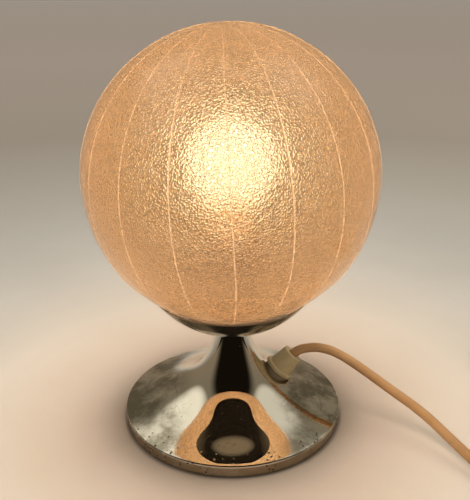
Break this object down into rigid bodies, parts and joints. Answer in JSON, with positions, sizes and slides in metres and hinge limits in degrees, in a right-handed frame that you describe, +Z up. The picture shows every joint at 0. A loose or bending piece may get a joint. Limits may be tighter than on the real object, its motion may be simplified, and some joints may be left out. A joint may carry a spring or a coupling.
{
  "type": "table lamp",
  "caption": "Table lamp: hammered amber glass ball globe on a chromed trumpet foot with a dish, screw-in bulb, in-line switch and coiled lead with plug.",
  "frame": {"origin": "centre of the lamp's underside, on the surface it stands on", "axes": "+Z up along the stem, +X towards the side where the lead leaves the foot, -Y towards the viewer"},
  "size_m": [0.4275, 0.2223, 0.2844],
  "materials": {
    "foot_chrome": "polished chrome, slightly aged",
    "dish_chrome": "polished chrome",
    "weight_iron": "as cast",
    "cover_paint": "black enamel",
    "screw_steel": "zinc plated",
    "felt": "green felt",
    "stem_steel": "zinc plated thread",
    "nut_steel": "zinc plated",
    "plate_steel": "zinc plated",
    "spring_steel": "spring steel",
    "globe_glass": "amber pressed glass, hammered",
    "holder_phenolic": "dark brown phenolic",
    "holder_ceramic": "unglazed steatite",
    "contact_brass": "plain brass",
    "solder_tin": "solder",
    "black_glass": "black glass filler",
    "cap_brass": "thin pale brass",
    "bulb_glass": "frosted inside",
    "clear_glass": "clear",
    "wire_steel": "drawn wire",
    "filament": "tungsten, glowing in use",
    "gland_plastic": "beige moulded plastic",
    "gland_rubber": "black",
    "lead_pvc": "beige flexible sheath",
    "core_brown": "insulation",
    "core_blue": "insulation",
    "switch_plastic": "beige moulded plastic",
    "rocker_plastic": "beige, polished by use",
    "tie_plastic": "soft strap",
    "plug_plastic": "beige moulded plastic",
    "sleeve_plastic": "insulated part of the pins",
    "pin_brass": "nickel plated brass"
  },
  "bodies": {
    "lamp_base": {"foot_shell": "foot_chrome", "dish": "dish_chrome", "foot_weight": "weight_iron", "foot_cover": "cover_paint", "cover_screws": "screw_steel", "felt_ring": "felt", "stem_tube": "stem_steel", "base_washer": "nut_steel", "base_nut": "nut_steel", "weight_nut": "nut_steel", "dish_washer": "nut_steel", "dish_nut": "nut_steel", "plate_nut": "nut_steel", "carrier_plate": "plate_steel", "spring_rivets": "screw_steel", "globe_spring_1": "spring_steel", "globe_spring_2": "spring_steel", "globe_spring_3": "spring_steel", "globe_seat": "felt", "holder_cap": "holder_phenolic", "holder_skirt": "holder_phenolic", "holder_block": "holder_ceramic", "screw_shell": "contact_brass", "centre_contact": "contact_brass", "terminal_screws": "contact_brass", "gland_body": "gland_plastic", "gland_washer": "gland_rubber", "gland_nut": "gland_plastic", "lead_tail": "lead_pvc", "live_core": "core_brown", "neutral_core": "core_blue", "switch_lower": "switch_plastic", "switch_upper": "switch_plastic", "switch_screws": "screw_steel", "switch_terminals": "contact_brass", "switch_cores": "core_brown", "lead_lamp_side": "lead_pvc", "lead_coil_side": "lead_pvc", "lead_plug_side": "lead_pvc", "lead_coil": "lead_pvc", "coil_ties": "tie_plastic", "plug_body": "plug_plastic", "plug_sleeves": "sleeve_plastic", "plug_pins": "pin_brass"},
    "globe_body": {"globe": "globe_glass"},
    "bulb_lift_body": {"bulb_contact": "solder_tin", "bulb_insulator": "black_glass"},
    "bulb_body": {"bulb_cap": "cap_brass", "bulb_glass": "bulb_glass", "bulb_mount": "clear_glass", "bulb_wires": "wire_steel", "filament": "filament"},
    "rocker_body": {"switch_rocker": "rocker_plastic"}
  },
  "joints": [
    {"name": "globe_lift", "type": "slide", "parent": "lamp_base", "child": "globe_body", "axis": [0, 0, 1], "range_m": [0, 0.16]},
    {"name": "bulb_rise", "type": "slide", "parent": "lamp_base", "child": "bulb_lift_body", "axis": [0, 0, 1], "range_m": [0, 0.0164]},
    {"name": "bulb_turn", "type": "hinge", "parent": "bulb_lift_body", "child": "bulb_body", "pos_m": [0, 0, 0.13], "axis": [0, 0, 1], "range_deg": [0, 1620]},
    {"name": "switch_rock", "type": "hinge", "parent": "lamp_base", "child": "rocker_body", "pos_m": [0.27392, -0.0951, 0.0149], "axis": [0.5, -0.866, 0], "range_deg": [0, 14]}
  ],
  "couplings": [
    {"joint": "bulb_rise", "follows": "bulb_turn", "m_per_rad": 0.0005775}
  ]
}
